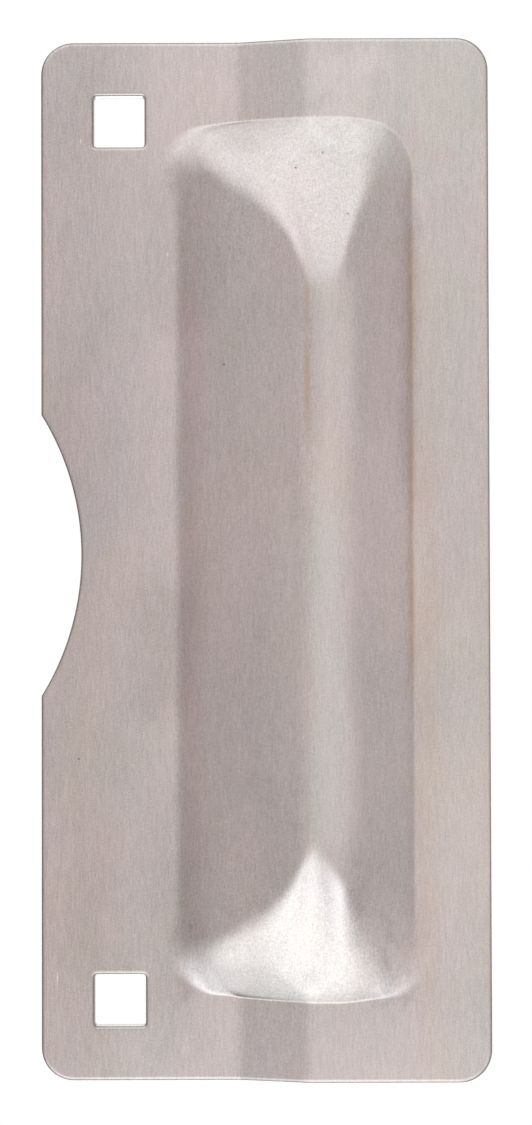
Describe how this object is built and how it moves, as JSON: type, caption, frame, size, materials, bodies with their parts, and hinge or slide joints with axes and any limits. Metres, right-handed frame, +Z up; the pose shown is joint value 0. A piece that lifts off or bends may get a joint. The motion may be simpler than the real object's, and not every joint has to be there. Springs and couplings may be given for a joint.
{
  "type": "latch protector plate",
  "caption": "Pressed steel latch protector plate with a raised hip-ended bulge, a stepped flange, square bolt holes and a shallow round edge notch.",
  "frame": {"origin": "on the door's face, at the back of the door flange, midway between the two square bolt holes", "axes": "+X across the plate from the notched door flange towards the frame flange, +Y from the front into the door, +Z up the plate's height"},
  "size_m": [0.0875, 0.0117, 0.2032],
  "materials": {
    "satin_steel": "satin, brushed along the plate's height"
  },
  "bodies": {
    "root": {"guard_plate": "satin_steel"}
  },
  "joints": []
}
